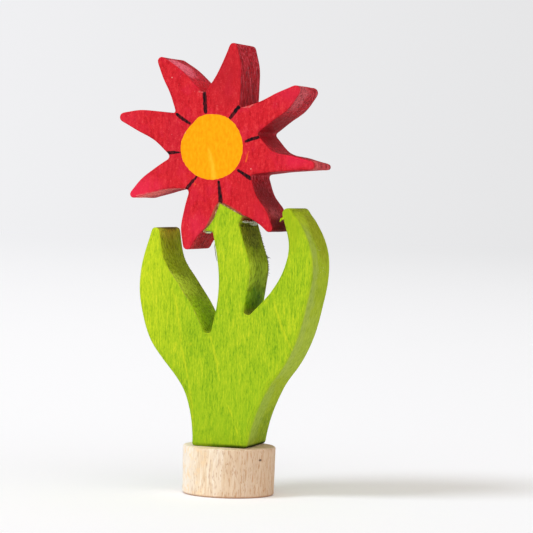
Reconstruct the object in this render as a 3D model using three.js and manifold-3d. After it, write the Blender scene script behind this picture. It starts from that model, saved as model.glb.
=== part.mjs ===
// A wooden aster: a sawn and stained flower, glued up from two boards and doweled to a turned disc.
//
// Millimetres, +Z up. The flower faces -Y. The origin is the middle of the disc's underside.
// The outlines are sawn by hand, so no two petals or leaves are alike. Each outline is a chain of small
// circles (petal tips, leaf tips and the bottoms of the saw cuts) joined by bowed sides. It is drawn
// clockwise in the X-Z plane.

import * as THREE from 'three';
import { mergeVertices } from 'three/addons/utils/BufferGeometryUtils.js';
import Module from 'manifold-3d';

const wasm = await Module();
wasm.setup();

// The disc: a slice of a turned rod that tapers a little towards its underside
const discTopDiameter = 20;
const discBottomDiameter = 19.7;
const discHeight = 10.4;
const discRimRadius = 0.5;

// Both boards are as thick, and stand a little behind the disc's axis
const boardThickness = 14;
const boardSetback = 1.5;
const edgeRadius = 0.5;
const glueGap = 0.3;

// The dowel hidden in the disc and the foot
const dowelDiameter = 6;
const dowelDepthInDisc = 7;
const dowelDepthInFoot = 9;
const dowelChamfer = 0.6;
const dowelSideGap = 0.25;
const dowelEndGap = 0.5;

// The blossom's centre, from the disc's axis and the disc's top
const blossomCentre = [-4, 64];

// Petals clockwise from the top one, measured from the blossom's centre. A tip and the valley after it
// are circles. A bow says how far a side stands out from the straight line between its circles, at
// equal steps: rise is the side up to the tip, fall the side down from it.
const petals = [
  {
    tip: [4.05, 21.45],
    tipRadius: 0.85,
    rise: [-0.4, -0.3],
    fall: [0.7, 0.45],
    valley: [6.3, 9.1],
    valleyRadius: 0.5,
  },
  {
    tip: [18.1, 12.4],
    tipRadius: 1.1,
    rise: [-0.3, 0],
    fall: [0.8, 0.3],
    valley: [10.7, 3.1],
    valleyRadius: 0.6,
  },
  {
    tip: [21.9, -3.3],
    tipRadius: 1,
    rise: [-1.75, -0.7],
    fall: [-0.1, -0.2],
    valley: [9.4, -6.1],
    valleyRadius: 0.6,
  },
  {
    tip: [13.1, -16.9],
    tipRadius: 0.8,
    rise: [-0.5, 0.2],
    fall: [-0.3, -0.3],
  },
  {
    tip: [-5.1, -21.1],
    tipRadius: 0.9,
    rise: [-0.2, -0.2],
    fall: [0.9, 0.6],
    valley: [-5.9, -9.8],
    valleyRadius: 0.8,
  },
  {
    tip: [-17.6, -10.5],
    tipRadius: 0.8,
    rise: [-0.6, -0.3],
    fall: [0.6, 0.4],
    valley: [-10.4, -2.2],
    valleyRadius: 0.7,
  },
  {
    tip: [-20.2, 6],
    tipRadius: 1,
    rise: [-0.7, -0.3],
    fall: [0.6, 0.4],
    valley: [-9.1, 7.6],
    valleyRadius: 0.5,
  },
  {
    tip: [-12, 18.2],
    tipRadius: 0.9,
    rise: [-0.2, 0.1],
    fall: [0.5, 0.4],
    valley: [-2.4, 12.5],
    valleyRadius: 0.8,
  },
];

// The glued joint, measured from the blossom's centre. The foliage ends in a pointed tongue, and the
// notch between the two lowest petals is sawn to the same line.
const joint = {
  left: [-1.2, -17.8],
  apex: [2, -11.9],
  right: [7.2, -14.5],
  leftBow: [-0.5, -0.4],
};

// The stem just under the joint, measured from the joint's left and right ends
const neck = {
  left: [1.5, -0.6],
  right: [-0.4, -1.5],
  radius: 0.4,
  leftBow: [-1.1, -1.5, -1],
  rightBow: [1, 1.9, 1.1],
};

// The leaves. The tips are measured from the blossom's centre, the gaps beside the stem from the disc's
// axis and top. An inner side faces the stem.
const leftLeaf = {
  tip: [-12.4, -18.5],
  tipRadius: 1,
  innerBow: [-1.6, -0.9, -0.1],
  outerBow: [-0.7, -0.3, 2.1, 4.9, 5.5, 5.2, 3.2],
  gap: [-4, 25.1],
  gapRadius: 0.9,
};
const rightLeaf = {
  tip: [17.2, -13.7],
  tipRadius: 1.2,
  innerBow: [-2.7, -4, -3.4],
  outerBow: [5.2, 6.9, 6.8, 6.4, 4.8, 2, 0.5],
  gap: [4.95, 29.4],
  gapRadius: 0.9,
};

// The foot, which stands on the disc
const foot = { left: -6.7, right: 5.6, cornerRadius: 0.6 };

// How finely curves are cut into flats
const sideStep = 1.6;
const arcStep = Math.PI / 6;
const edgeSteps = 2;
const discSides = 48;
const dowelSides = 24;

// Outlines

const plus = (a, b) => [a[0] + b[0], a[1] + b[1]];
const vector = (point) => new THREE.Vector2(point[0], point[1]);
const leftOf = (direction) => new THREE.Vector2(-direction.y, direction.x);

// One circle of a chain. The outline runs round the outside of one with a positive radius, and round
// the inside of a cut with a negative one. The bow is that of the side that leaves it.
function bend(at, radius, bow = []) {
  return { at: vector(at), radius, bow };
}

// The side between two circles of a chain, from where it leaves one to where it meets the other
function side(from, to) {
  const chord = to.at.clone().sub(from.at);
  const outward = leftOf(chord.clone().normalize());
  const steps = from.bow.length + 1;
  const rib = [from.at];
  from.bow.forEach((bow, i) => {
    rib.push(from.at.clone().addScaledVector(chord, (i + 1) / steps).addScaledVector(outward, bow));
  });
  rib.push(to.at);
  const leaving = leftOf(rib[1].clone().sub(rib[0]).normalize());
  const meeting = leftOf(rib[steps].clone().sub(rib[steps - 1]).normalize());
  rib.forEach((point, i) => {
    const radius = THREE.MathUtils.lerp(from.radius, to.radius, i / steps);
    const normal = leaving.clone().lerp(meeting, i / steps).normalize();
    rib[i] = point.clone().addScaledVector(normal, radius);
  });
  const curve = new THREE.SplineCurve(rib);
  const count = steps === 1 ? 1 : Math.ceil(curve.getLength() / sideStep);
  return { points: curve.getSpacedPoints(count), leaving, meeting };
}

// The points round a circle of a chain, from the side that meets it to the side that leaves it. Where
// the sides turn away from the circle they are only joined.
function corner(circle, before, after) {
  const start = before.meeting.angle();
  const change = after.leaving.angle() - start;
  const turn = THREE.MathUtils.euclideanModulo(change + Math.PI, 2 * Math.PI) - Math.PI;
  const ends = [before.points[before.points.length - 1], after.points[0]];
  if (turn * circle.radius >= 0) {
    return [ends[0].clone().lerp(ends[1], 0.5)];
  }
  const count = Math.ceil(Math.abs(turn) / arcStep);
  const points = [ends[0]];
  for (let i = 1; i < count; i += 1) {
    const angle = start + (turn * i) / count;
    const spoke = new THREE.Vector2(Math.cos(angle), Math.sin(angle));
    points.push(circle.at.clone().addScaledVector(spoke, circle.radius));
  }
  points.push(ends[1]);
  return points;
}

// The closed outline of a chain of circles
function outline(chain) {
  const sides = chain.map((circle, i) => side(circle, chain[(i + 1) % chain.length]));
  const points = [];
  chain.forEach((circle, i) => {
    const before = sides[(i + chain.length - 1) % chain.length];
    points.push(...corner(circle, before, sides[i]));
    points.push(...sides[i].points.slice(1, -1));
  });
  return points;
}

// Solids

// A board of the given outline with its edges eased. Its middle plane is the X-Z plane.
function board(points) {
  const depth = boardThickness - 2 * edgeRadius;
  const geometry = new THREE.ExtrudeGeometry(new THREE.Shape(points), {
    depth,
    steps: 1,
    bevelThickness: edgeRadius,
    bevelSize: edgeRadius,
    bevelOffset: -edgeRadius,
    bevelSegments: edgeSteps,
  });
  geometry.translate(0, 0, -depth / 2);
  geometry.rotateX(Math.PI / 2);
  return geometry;
}

// A solid turned about the Z axis, from a profile of radius and height that starts and ends on the axis
function turned(profile, sides) {
  const geometry = new THREE.LatheGeometry(profile.map(vector), sides);
  geometry.rotateX(Math.PI / 2);
  return geometry;
}

// The rounding of a turned rim, from one heading to another, as points of radius and height
function rim(centreRadius, centreHeight, fromAngle) {
  const points = [];
  for (let i = 0; i <= 2 * edgeSteps; i += 1) {
    const angle = fromAngle + (Math.PI / 2) * (i / (2 * edgeSteps));
    const reach = discRimRadius * Math.cos(angle);
    points.push([centreRadius + reach, centreHeight + discRimRadius * Math.sin(angle)]);
  }
  return points;
}

function asManifold(geometry) {
  const bare = geometry.clone();
  bare.deleteAttribute('normal');
  bare.deleteAttribute('uv');
  const welded = mergeVertices(bare);
  const mesh = new wasm.Mesh({
    numProp: 3,
    vertProperties: new Float32Array(welded.attributes.position.array),
    triVerts: new Uint32Array(welded.index.array),
  });
  return new wasm.Manifold(mesh);
}

function asGeometry(solid) {
  const mesh = solid.getMesh();
  const geometry = new THREE.BufferGeometry();
  geometry.setAttribute('position', new THREE.BufferAttribute(mesh.vertProperties, 3));
  geometry.setIndex(new THREE.BufferAttribute(mesh.triVerts, 1));
  geometry.computeVertexNormals();
  return geometry;
}

// Parts

// The disc, with a blind bore in its top for the dowel
function disc() {
  const bore = dowelDiameter / 2 + dowelSideGap;
  const boreFloor = discHeight - dowelDepthInDisc - dowelEndGap;
  const profile = [
    [0, 0],
    ...rim(discBottomDiameter / 2 - discRimRadius, discRimRadius, -Math.PI / 2),
    ...rim(discTopDiameter / 2 - discRimRadius, discHeight - discRimRadius, 0),
    [bore, discHeight],
    [bore, boreFloor],
    [0, boreFloor],
  ];
  return turned(profile, discSides);
}

// The dowel, with chamfered ends, from the bore in the disc to the bore in the foot
function dowel() {
  const radius = dowelDiameter / 2;
  const bottom = discHeight - dowelDepthInDisc;
  const top = discHeight + dowelDepthInFoot;
  const profile = [
    [0, bottom],
    [radius - dowelChamfer, bottom],
    [radius, bottom + dowelChamfer],
    [radius, top - dowelChamfer],
    [radius - dowelChamfer, top],
    [0, top],
  ];
  return turned(profile, dowelSides);
}

// The blossom, a board with eight petals and the notch for the tongue
function blossom() {
  const chain = [];
  petals.forEach((petal, i) => {
    const next = petals[(i + 1) % petals.length];
    chain.push(bend(petal.tip, petal.tipRadius, petal.fall));
    if (petal.valley) {
      chain.push(bend(petal.valley, -petal.valleyRadius, next.rise));
    } else {
      const notchBow = joint.leftBow.map((bow) => -bow).reverse();
      chain.push(bend(joint.right, -glueGap));
      chain.push(bend(joint.apex, -glueGap, notchBow));
      chain.push(bend(joint.left, -glueGap, next.rise));
    }
  });
  return board(outline(chain));
}

// The foliage, a board with the stem, its tongue and two leaves, and a blind bore in the foot
function foliage() {
  const onDisc = (point) => plus(blossomCentre, point);
  const chain = [
    bend(onDisc(joint.left), 0, joint.leftBow),
    bend(onDisc(joint.apex), 0),
    bend(onDisc(joint.right), 0),
    bend(onDisc(plus(joint.right, neck.right)), -neck.radius, neck.rightBow),
    bend(rightLeaf.gap, -rightLeaf.gapRadius, rightLeaf.innerBow),
    bend(onDisc(rightLeaf.tip), rightLeaf.tipRadius, rightLeaf.outerBow),
    bend([foot.right - foot.cornerRadius, foot.cornerRadius], foot.cornerRadius),
    bend([foot.left + foot.cornerRadius, foot.cornerRadius], foot.cornerRadius, leftLeaf.outerBow),
    bend(onDisc(leftLeaf.tip), leftLeaf.tipRadius, leftLeaf.innerBow),
    bend(leftLeaf.gap, -leftLeaf.gapRadius, neck.leftBow),
    bend(onDisc(plus(joint.left, neck.left)), -neck.radius),
  ];
  // Half of the cylinder stands below the foot, so that it opens the foot's underside
  const boreRadius = dowelDiameter / 2 + dowelSideGap;
  const boreLength = 2 * (dowelDepthInFoot + dowelEndGap);
  const bore = new THREE.CylinderGeometry(boreRadius, boreRadius, boreLength, dowelSides);
  bore.rotateX(Math.PI / 2);
  bore.translate(0, -boardSetback, 0);
  return asGeometry(asManifold(board(outline(chain))).subtract(asManifold(bore)));
}

// The assembly

function piece(name, geometry, color, roughness) {
  const material = new THREE.MeshStandardMaterial({ color, roughness, metalness: 0 });
  const mesh = new THREE.Mesh(geometry, material);
  mesh.name = name;
  return mesh;
}

const baseDisc = piece('base_disc', disc(), 0xe6cfae, 0.6);

const dowelPin = piece('dowel', dowel(), 0xd9bf94, 0.7);

const foliageBoard = piece('foliage', foliage(), 0xa4c41f, 0.6);
foliageBoard.position.set(0, boardSetback, discHeight);

const blossomBoard = piece('blossom', blossom(), 0xd42533, 0.6);
blossomBoard.position.set(blossomCentre[0], boardSetback, discHeight + blossomCentre[1]);

const aster = new THREE.Group();
aster.add(baseDisc, dowelPin, foliageBoard, blossomBoard);

export default aster;
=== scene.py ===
"""Looks of the wooden aster: two sawn and stained boards and a bare turned disc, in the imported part's frame.

Sizes are in millimetres until a mesh is made. x runs to the right, y to the back and z up, as in the part.
"""

import math

import bpy
import numpy as np
from mathutils import Matrix, Vector, noise
from mathutils.geometry import tessellate_polygon


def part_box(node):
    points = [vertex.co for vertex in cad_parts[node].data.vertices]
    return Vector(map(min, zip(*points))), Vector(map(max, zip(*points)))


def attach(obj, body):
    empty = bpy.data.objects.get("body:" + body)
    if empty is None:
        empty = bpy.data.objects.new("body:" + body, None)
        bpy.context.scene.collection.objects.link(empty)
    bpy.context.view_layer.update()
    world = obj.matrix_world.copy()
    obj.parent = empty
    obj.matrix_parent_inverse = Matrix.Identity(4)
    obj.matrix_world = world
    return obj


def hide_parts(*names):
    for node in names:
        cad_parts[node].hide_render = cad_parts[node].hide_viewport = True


MM = 0.001
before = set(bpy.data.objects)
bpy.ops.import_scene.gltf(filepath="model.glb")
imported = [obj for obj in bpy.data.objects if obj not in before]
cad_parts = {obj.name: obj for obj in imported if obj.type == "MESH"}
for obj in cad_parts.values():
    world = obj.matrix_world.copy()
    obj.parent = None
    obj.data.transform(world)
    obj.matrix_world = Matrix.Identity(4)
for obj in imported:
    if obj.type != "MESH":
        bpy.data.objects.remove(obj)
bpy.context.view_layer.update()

# Where things are on the flower: both boards' faces in y, the disc's top in z, the x that parts the right
# leaf's saw cut from its outer side, and the heights between which the right petal's tip lies
BOARD_FRONT, BOARD_BACK = (v / MM for v in (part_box("foliage")[0].y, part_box("foliage")[1].y))
DISC_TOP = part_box("base_disc")[1].z / MM
LEAF_SIDE = 14.2
TIP_LOW, TIP_HIGH = 68, 76

# The dowel's blind bores, one in the disc and one in the foot
BORE_RADIUS = 3.25
BORE_BOTTOM, BORE_TOP = 2.9, 19.9

# The bevel of the CAD boards, the step along a drawn outline, and how near glued outlines come to each other
CAD_EDGE = 0.5
OUTLINE_STEP = 0.28
GROOVE = 0.55

# How strongly the stained wood mirrors its surroundings: it is nearly matt
GLOSS = 0.02


def linear(rgb):
    """A screen colour of 0 to 255 as the linear colour, with alpha, that a shader takes."""
    parts = [v / 255 for v in rgb]
    parts = [v / 12.92 if v <= 0.04045 else ((v + 0.055) / 1.055) ** 2.4 for v in parts]
    return (*parts, 1.0)


def wander(*place, seed=0):
    """Smooth noise from -1 to 1 at a place."""
    return noise.noise(Vector((*place, 0, 0)[:3]) + Vector((seed * 17.3, seed * 5.1, seed * 9.7)))


# Outlines of the boards


def front_loop(node):
    """A board's outline in the x-z plane, walked along the front rim of its wall."""
    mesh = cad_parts[node].data
    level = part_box(node)[0].y / MM + CAD_EDGE
    places = [v.co / MM for v in mesh.vertices]
    on_rim = [abs(p.y - level) < 0.02 for p in places]
    keys = [(round(p.x, 2), round(p.z, 2)) for p in places]
    beside = {}
    for edge in mesh.edges:
        a, b = edge.vertices
        if on_rim[a] and on_rim[b] and keys[a] != keys[b]:
            beside.setdefault(keys[a], set()).add(keys[b])
            beside.setdefault(keys[b], set()).add(keys[a])
    start = min(beside)
    loop, last, here = [start], None, start
    while True:
        ahead = [k for k in sorted(beside[here]) if k != last]
        last, here = here, ahead[0]
        if here == start:
            break
        loop.append(here)
    loop = np.array(loop)
    x, z = loop.T
    if np.sum(x * np.roll(z, -1) - z * np.roll(x, -1)) < 0:
        loop = loop[::-1]
    return loop


def curve_through(before, run, after):
    """Points close together on a smooth curve through a run of points, without the last one."""
    p = np.vstack([before, run, after])
    out = []
    for i in range(1, len(p) - 2):
        a, b, c, d = p[i - 1 : i + 3]
        ta = 0.0
        tb = ta + np.linalg.norm(b - a) ** 0.5
        tc = tb + np.linalg.norm(c - b) ** 0.5
        td = tc + np.linalg.norm(d - c) ** 0.5
        count = max(1, round(np.linalg.norm(c - b) / OUTLINE_STEP))
        for t in np.linspace(tb, tc, count, endpoint=False):
            ab = ((tb - t) * a + (t - ta) * b) / (tb - ta)
            bc = ((tc - t) * b + (t - tb) * c) / (tc - tb)
            cd = ((td - t) * c + (t - tc) * d) / (td - tc)
            abc = ((tc - t) * ab + (t - ta) * bc) / (tc - ta)
            bcd = ((td - t) * bc + (t - tb) * cd) / (td - tb)
            out.append(((tc - t) * abc + (t - tb) * bcd) / (tc - tb))
    return out


def fine_outline(loop, sharpest=38):
    """The outline at close steps: smooth, but for the corners that turn by more than sharpest degrees."""
    ahead = np.roll(loop, -1, axis=0) - loop
    behind = loop - np.roll(loop, 1, axis=0)
    turn = np.arctan2(behind[:, 0] * ahead[:, 1] - behind[:, 1] * ahead[:, 0], (behind * ahead).sum(axis=1))
    corners = [i for i in range(len(loop)) if abs(turn[i]) > math.radians(sharpest)]
    if not corners:
        return np.array(curve_through(loop[-1], np.vstack([loop, loop[:1]]), loop[1]))
    loop = np.roll(loop, -corners[0], axis=0)
    marks = [c - corners[0] for c in corners] + [len(loop)]
    loop = np.vstack([loop, loop[:1]])
    out = []
    for a, b in zip(marks, marks[1:]):
        run = loop[a : b + 1]
        out.extend(curve_through(2 * run[0] - run[1], run, 2 * run[-1] - run[-2]))
    return np.array(out)


def outward(outline):
    """The outward normal at each point, lengthened at a corner so that its two sides keep their distance."""
    ahead = np.roll(outline, -1, axis=0) - outline
    ahead /= np.linalg.norm(ahead, axis=1)[:, None]
    sides = np.stack([ahead[:, 1], -ahead[:, 0]], axis=1)
    normal = sides + np.roll(sides, 1, axis=0)
    normal /= np.linalg.norm(normal, axis=1)[:, None]
    reach = 1 / np.maximum((normal * sides).sum(axis=1), 0.6)
    return normal * reach[:, None]


def nearness(outline, other):
    """How far each point lies from the nearest point of another outline."""
    return np.array([np.min(np.hypot(*(other - p).T)) for p in outline])


def blurred(values, reach):
    """Values round a closed outline, averaged over that many points to each side."""
    total = sum(np.roll(values, k) for k in range(-reach, reach + 1))
    return total / (2 * reach + 1)


# Meshes


def new_piece(name, points, faces, smooth=None):
    """A mesh object from points in millimetres. smooth says for each face if it is shaded smooth."""
    mesh = bpy.data.meshes.new(name)
    mesh.from_pydata([Vector(p) * MM for p in points], [], faces)
    mesh.polygons.foreach_set("use_smooth", [True] * len(faces) if smooth is None else smooth)
    mesh.update()
    piece = bpy.data.objects.new(name, mesh)
    bpy.context.scene.collection.objects.link(piece)
    return piece


def board(name, outline, rounding, wobble, inner, taper):
    """A board with hand-rounded rims, from its outline and four values for each of its points.

    They are the rim's radius, the wall's unevenness, whether the wall belongs to an inner saw cut, and how
    far it leans in at the back.
    """
    normals = outward(outline)
    rim_steps, wall_steps = 7, 14
    count = len(outline)
    flat = (rounding + 0.06, BOARD_FRONT + 0 * rounding, 0)
    rings = [flat]
    for step in range(rim_steps + 1):
        turn = math.pi / 2 * step / rim_steps
        rings.append((rounding * (1 - math.sin(turn)), BOARD_FRONT + rounding * (1 - math.cos(turn)), 0))
    for step in range(1, wall_steps):
        share = step / wall_steps
        y = BOARD_FRONT + rounding + (BOARD_BACK - BOARD_FRONT - 2 * rounding) * share
        rings.append((0 * rounding, y, math.sin(math.pi * share) ** 0.5))
    for step in range(rim_steps, -1, -1):
        turn = math.pi / 2 * step / rim_steps
        rings.append((rounding * (1 - math.sin(turn)), BOARD_BACK - rounding * (1 - math.cos(turn)), 0))
    rings.append((rounding + 0.06, BOARD_BACK + 0 * rounding, 0))
    points = []
    for inset, y, swell in rings:
        for i in range(count):
            x, z = outline[i]
            bump = swell * wobble[i] * wander(x / 5, y[i] / 6, z / 5, seed=1)
            lean = taper[i] * (y[i] - BOARD_FRONT) / (BOARD_BACK - BOARD_FRONT)
            x, z = outline[i] + normals[i] * (bump - lean - inset[i])
            points.append((x, y[i], z))
    faces = []
    for ring in range(len(rings) - 1):
        a, b = ring * count, (ring + 1) * count
        for i in range(count):
            j = (i + 1) % count
            faces.append((a + i, a + j, b + j, b + i))
    smooth = [True] * len(faces)
    last = (len(rings) - 1) * count
    for first, flip in ((0, False), (last, True)):
        ring = [Vector((points[first + i][0], points[first + i][2], 0)) for i in range(count)]
        for a, b, c in tessellate_polygon([ring]):
            area = (ring[b] - ring[a]).cross(ring[c] - ring[a]).z
            if (area > 0) == flip:
                b, c = c, b
            faces.append((first + a, first + b, first + c))
            smooth.append(False)
    piece = new_piece(name, points, faces, smooth)
    layer = piece.data.attributes.new("inner", "FLOAT", "POINT")
    layer.data.foreach_set("value", np.tile(inner, len(rings)).astype(np.float32))
    return piece


def turned(name, profile, sides, unevenness=0.0):
    """A solid turned about the z axis. Its profile of radius and height starts and ends on the axis."""
    points = [(0, 0, profile[0][1]), (0, 0, profile[-1][1])]
    for i in range(sides):
        turn = 2 * math.pi * i / sides
        for radius, height in profile[1:-1]:
            out = radius + unevenness * wander(math.cos(turn) * 2, math.sin(turn) * 2, height / 4, seed=2)
            points.append((out * math.cos(turn), out * math.sin(turn), height))
    rows = len(profile) - 2
    faces = []
    for i in range(sides):
        a, b = 2 + i * rows, 2 + (i + 1) % sides * rows
        faces.append((0, b, a))
        for k in range(rows - 1):
            faces.append((a + k, b + k, b + k + 1, a + k + 1))
        faces.append((1, a + rows - 1, b + rows - 1))
    return new_piece(name, points, faces)


def quarter(radius, height, size, start, steps=5):
    """The rounding of a turned rim as points of radius and height."""
    turns = [math.radians(start + 90 * i / steps) for i in range(steps + 1)]
    return [(radius + size * math.cos(t), height + size * math.sin(t)) for t in turns]


def disc_profile():
    """The disc's profile, with its blind bore for the dowel."""
    top, bottom = 10.0, 9.85
    upper, lower = 0.45, 0.4
    return [
        (0, 0),
        (4, 0),
        (8, 0),
        *quarter(bottom - lower, lower, lower, -90),
        (9.88, 2.5),
        (9.92, 5),
        (9.96, 7.5),
        *quarter(top - upper, DISC_TOP - upper, upper, 0),
        (6.5, DISC_TOP),
        (BORE_RADIUS, DISC_TOP),
        (BORE_RADIUS, BORE_BOTTOM),
        (0, BORE_BOTTOM),
    ]


# Materials


class Shader:
    """A material's nodes, with short ways to add them.

    An input is a socket, a number, a colour or a vector.
    """

    def __init__(self, name):
        self.material = bpy.data.materials.new(name)
        self.material.use_nodes = True
        self.tree = self.material.node_tree
        self.surface = self.tree.nodes["Principled BSDF"]
        place = self.add("ShaderNodeTexCoord").outputs["Object"]
        self.place = self.vector("SCALE", place, scale=1 / MM)
        self.flat = self.vector("MULTIPLY", self.place, (1, 0, 1))
        parts = self.add("ShaderNodeSeparateXYZ", Vector=self.place)
        self.x, self.y, self.z = parts.outputs
        self.unrest = None

    def add(self, kind, settings=None, **inputs):
        node = self.tree.nodes.new(kind)
        for key, value in (settings or {}).items():
            setattr(node, key, value)
        for key, value in inputs.items():
            self.put(node.inputs[key.replace("_", " ")], value)
        return node

    def put(self, socket, value):
        if isinstance(value, bpy.types.NodeSocket):
            self.tree.links.new(value, socket)
        else:
            socket.default_value = value

    def math(self, operation, *values, clamp=False):
        node = self.add("ShaderNodeMath", {"operation": operation, "use_clamp": clamp})
        for socket, value in zip(node.inputs, values):
            self.put(socket, value)
        return node.outputs[0]

    def vector(self, operation, *values, scale=None):
        node = self.add("ShaderNodeVectorMath", {"operation": operation})
        for socket, value in zip(node.inputs, values):
            self.put(socket, value)
        if scale is not None:
            self.put(node.inputs["Scale"], scale)
        return node.outputs["Value" if operation in ("LENGTH", "DOT_PRODUCT") else "Vector"]

    def stretch(self, x, y, z, shift=(0, 0, 0)):
        """The place, scaled by so much along each axis, for a texture drawn out along the grain."""
        node = self.add("ShaderNodeMapping", Vector=self.place, Scale=(x, y, z), Location=shift)
        return node.outputs[0]

    def noise(self, place, detail=2.0, rough=0.5):
        node = self.add("ShaderNodeTexNoise", Vector=place, Scale=1.0, Detail=detail, Roughness=rough)
        return node.outputs["Fac"]

    def blend(self, *parts):
        """The sum of values, each with its share."""
        total = None
        for value, share in parts:
            value = self.math("MULTIPLY", value, share)
            total = value if total is None else self.math("ADD", total, value)
        return total

    def step(self, value, low, high, to_low=0.0, to_high=1.0):
        """A smooth change from to_low to to_high as value goes from low to high."""
        node = self.add("ShaderNodeMapRange", {"interpolation_type": "SMOOTHSTEP"})
        for socket, given in zip(node.inputs, (value, low, high, to_low, to_high)):
            self.put(socket, given)
        return node.outputs[0]

    def mix(self, share, a, b, blend="MIX"):
        node = self.add("ShaderNodeMix", {"data_type": "RGBA", "blend_type": blend})
        self.put(node.inputs[0], share)
        self.put(node.inputs[6], linear(a) if isinstance(a, tuple) else a)
        self.put(node.inputs[7], linear(b) if isinstance(b, tuple) else b)
        return node.outputs[2]

    def ramp(self, value, *stops):
        """A colour that follows value through stops of (position, screen colour)."""
        node = self.add("ShaderNodeValToRGB", Fac=value)
        marks = node.color_ramp.elements
        while len(marks) < len(stops):
            marks.new(0.5)
        for mark, (position, rgb) in zip(marks, stops):
            mark.position = position
            mark.color = linear(rgb)
        return node.outputs[0]

    def specks(self, place, size, share):
        """1 inside small round specks. size is their radius in cells, and share of the cells hold one."""
        cells = self.add("ShaderNodeTexVoronoi", {"feature": "F1"}, Vector=place, Scale=1.0)
        inside = self.step(cells.outputs["Distance"], size, size * 0.5)
        luck = self.add("ShaderNodeSeparateXYZ", Vector=cells.outputs["Color"]).outputs[0]
        return self.all_of(inside, self.math("LESS_THAN", luck, share))

    def all_of(self, *shares):
        """The product of shares, so 1 only where all of them are 1."""
        out = shares[0]
        for share in shares[1:]:
            out = self.math("MULTIPLY", out, share)
        return out

    def sawn(self, color, dark, light, along):
        """A colour with a saw's fine marks, fainter on the end grain. along is their scale in z."""
        normal = self.add("ShaderNodeNewGeometry").outputs["Normal"]
        facing = self.add("ShaderNodeSeparateXYZ", Vector=normal)
        end_grain = self.math("ABSOLUTE", facing.outputs[2])
        marks = self.noise(self.stretch(5.0, 4.2, along, shift=(6, 1, 2)), detail=2, rough=0.6)
        share = self.step(end_grain, 0.3, 1, 0.55, 0.15)
        color = self.mix(self.all_of(self.step(marks, 0.48, 0.36), share), color, dark)
        return self.mix(self.all_of(self.step(marks, 0.52, 0.63), share, 0.9), color, light)

    def wall(self, depth=0.45):
        """0 on the faces and 1 on the sawn walls between them, changing over the rounded rims."""
        middle = (BOARD_FRONT + BOARD_BACK) / 2
        half = (BOARD_BACK - BOARD_FRONT) / 2
        off = self.math("ABSOLUTE", self.math("SUBTRACT", self.y, middle))
        return self.step(off, half - 0.05, half - depth)

    def rim(self, level, reach):
        """1 at a level of y, fading to 0 at reach from it."""
        return self.step(self.math("ABSOLUTE", self.math("SUBTRACT", self.y, level)), reach, 0)

    def near(self, x, z, radius, soft=0.3):
        """1 round a point of the x-z plane, on any y."""
        away = self.vector("SUBTRACT", self.flat, (x, 0, z))
        return self.step(self.vector("LENGTH", away), radius + soft, radius - soft)

    def patch(self, middle, radii, soft=0.4):
        """1 inside an uneven egg round a place, and 0 well outside it."""
        if self.unrest is None:
            wave = self.noise(self.stretch(0.5, 0.5, 0.35), detail=3)
            self.unrest = self.math("MULTIPLY_ADD", wave, 1.6, -0.8)
        away = self.vector("DIVIDE", self.vector("SUBTRACT", self.place, middle), radii)
        return self.step(self.math("ADD", self.vector("LENGTH", away), self.unrest), 1 + soft, 1 - soft)

    def patched(self, color, patches, soft=0.4):
        """A colour under patches, each with its middle, radii, screen colour and strength."""
        for middle, radii, rgb, strength in patches:
            color = self.mix(self.all_of(self.patch(middle, radii, soft), strength), color, rgb)
        return color

    def drawn(self, lines, soft=0.07, ragged=0.35):
        """1 on lines across the x-z plane, each given by x, z and half its width at points along it."""
        nearest = None
        for line in lines:
            for (ax, az, ar), (bx, bz, br) in zip(line, line[1:]):
                along = Vector((bx - ax, 0, bz - az))
                from_a = self.vector("SUBTRACT", self.flat, (ax, 0, az))
                share = self.vector("DOT_PRODUCT", from_a, tuple(along / along.length_squared))
                share = self.math("MULTIPLY", share, 1.0, clamp=True)
                off = self.vector("SUBTRACT", from_a, self.vector("SCALE", tuple(along), scale=share))
                width = self.math("MULTIPLY_ADD", share, br - ar, ar)
                gap = self.math("SUBTRACT", self.vector("LENGTH", off), width)
                nearest = gap if nearest is None else self.math("MINIMUM", nearest, gap)
        feather = self.noise(self.stretch(2.6, 2.6, 1.2), detail=2)
        edge = self.math("MULTIPLY_ADD", self.math("SUBTRACT", feather, 0.5), ragged, nearest)
        return self.step(edge, soft, -soft)

    def grained(self, color, tone, dark, light, share):
        """A colour, multiplied by dark where tone is low and mixed with some light where it is high."""
        color = self.mix(self.step(tone, 0.5, 0.36), color, dark, blend="MULTIPLY")
        return self.mix(self.step(tone, 0.53, 0.68, 0, share), color, light)

    def finish(self, color, roughness, height=None, depth=0.1, **constants):
        """Wires the colour, the roughness and a bump whose height is in units of depth millimetres."""
        self.put(self.surface.inputs["Base Color"], color)
        self.put(self.surface.inputs["Roughness"], roughness)
        if height is not None:
            bump = self.add("ShaderNodeBump", Height=height, Distance=depth * MM, Strength=1.0)
            self.put(self.surface.inputs["Normal"], bump.outputs[0])
        for key, value in constants.items():
            self.surface.inputs[key.replace("_", " ")].default_value = value
        return self.material


# The seam between the boards, on the front face: x, z and half the width of its brown stain
SEAM = (
    ((-2.0, 62.7, 0.16), (-2.6, 61.9, 0.3), (-3.4, 59.8, 0.36), (-4.2, 58.2, 0.3), (-5.0, 57.1, 0.1)),
    ((-1.7, 62.7, 0.14), (0.4, 61.8, 0.16), (2.9, 60.4, 0.18)),
)

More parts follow.
